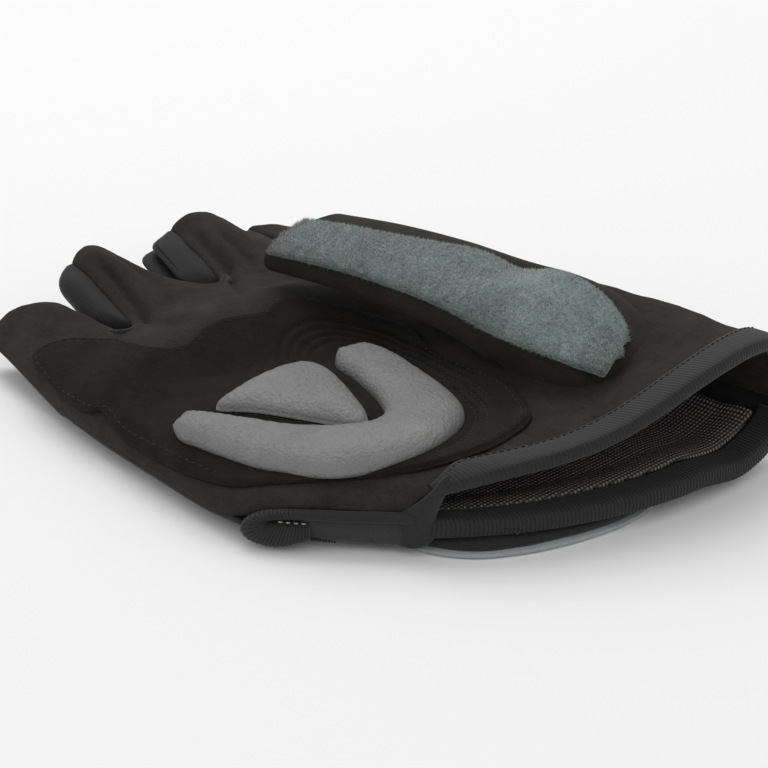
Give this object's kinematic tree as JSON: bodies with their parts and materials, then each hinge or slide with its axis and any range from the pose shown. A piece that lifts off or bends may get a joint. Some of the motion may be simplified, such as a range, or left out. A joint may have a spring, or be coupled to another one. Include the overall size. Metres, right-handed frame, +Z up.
{
  "type": "fitness glove",
  "caption": "Short-finger workout glove lying palm up, with a suede palm, raised gel heel pads, a fleece thumb wipe and an elastic cuff",
  "frame": {"origin": "middle of the bottom of the bounding box, on the surface that the glove lies on", "axes": "+X to the thumb side, +Y from the cuff to the fingers, +Z up out of the palm"},
  "size_m": [0.0976, 0.1394, 0.0315],
  "materials": {
    "palm_suede": "brownish black suede",
    "back_stretch": "blue-black stretch jersey",
    "fork_stretch": "blue-black stretch jersey",
    "thumb_suede": "brownish black suede",
    "fleece": "grey-green terry fleece",
    "patch_suede": "coarse black suede",
    "pad_leather": "grey pebbled leather, satin",
    "binding_tape": "black ribbed elastic tape",
    "strap_fabric": "smooth charcoal fabric",
    "strap_black": "black strap fabric",
    "strap_grey": "light grey fabric",
    "mesh_lining": "black woven mesh"
  },
  "bodies": {
    "root": {"palm_panel": "palm_suede", "back_panel": "back_stretch", "fork_pinky_ring": "fork_stretch", "fork_ring_middle": "fork_stretch", "fork_middle_index": "fork_stretch", "thumb_shell": "thumb_suede", "thumb_wipe": "fleece", "palm_patch": "patch_suede", "heel_pad_outer": "pad_leather", "heel_pad_inner": "pad_leather", "palm_cuff_binding": "binding_tape", "back_cuff_binding": "binding_tape", "slit_binding": "binding_tape", "strap_root": "strap_fabric", "closure_strap": "strap_black", "strap_cover": "strap_grey", "back_lining": "mesh_lining"}
  },
  "joints": []
}
